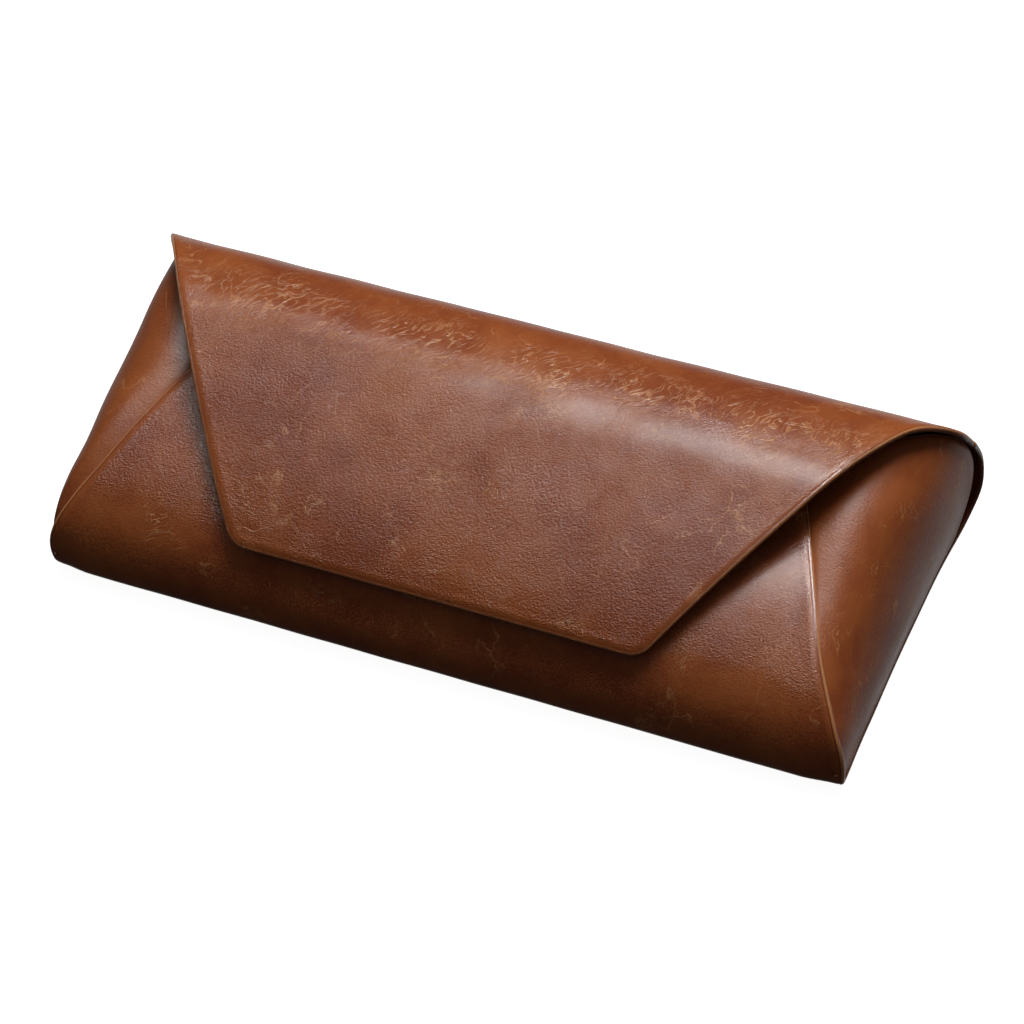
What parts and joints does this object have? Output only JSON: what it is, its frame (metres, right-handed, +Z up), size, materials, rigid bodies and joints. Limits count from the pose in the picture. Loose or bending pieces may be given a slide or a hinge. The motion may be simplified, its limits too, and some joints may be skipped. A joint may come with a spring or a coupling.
{
  "type": "eyeglasses case",
  "caption": "Soft leather eyeglasses case with puffed side gussets and a magnetic envelope flap that rolls over the mouth and folds back in two bends.",
  "frame": {"origin": "centre of the footprint, on the plane the case's back panel lies on", "axes": "+X along the case, +Y from the bottom fold to the rear roll, +Z up, away from the back panel"},
  "size_m": [0.165, 0.0719, 0.0412],
  "materials": {
    "cover_leather": "waxed pull-up leather, reddish brown, fine pebble grain, semi-gloss",
    "gusset_leather": "waxed pull-up leather, smoother than the cover",
    "lining": "near-black brown short nap lining",
    "board": "raw cellulose fibre board",
    "sponge": "thin grey sponge sheet",
    "magnet": "nickel-plated flat bar magnet"
  },
  "bodies": {
    "body": {"body_leather": "cover_leather", "front_board": "board", "back_board": "board", "front_padding": "sponge", "back_padding": "sponge", "pocket_lining": "lining", "front_magnet_left": "magnet", "front_magnet_right": "magnet", "gusset_left": "gusset_leather", "gusset_right": "gusset_leather", "gusset_lining_left": "lining", "gusset_lining_right": "lining"},
    "flap_roll": {"flap_roll_leather": "cover_leather", "flap_roll_lining": "lining"},
    "flap_front": {"flap_front_leather": "cover_leather", "flap_board": "board", "flap_front_lining": "lining", "flap_magnet_left": "magnet", "flap_magnet_right": "magnet"}
  },
  "joints": [
    {"name": "flap_hinge", "type": "hinge", "parent": "body", "child": "flap_roll", "pos_m": [0, 0.03597, 0.01275], "axis": [-1, 0, 0], "range_deg": [0, 110]},
    {"name": "flap_bend", "type": "hinge", "parent": "flap_roll", "child": "flap_front", "pos_m": [0, 0.00667, 0.04105], "axis": [-1, 0, 0], "range_deg": [0, 70]}
  ]
}
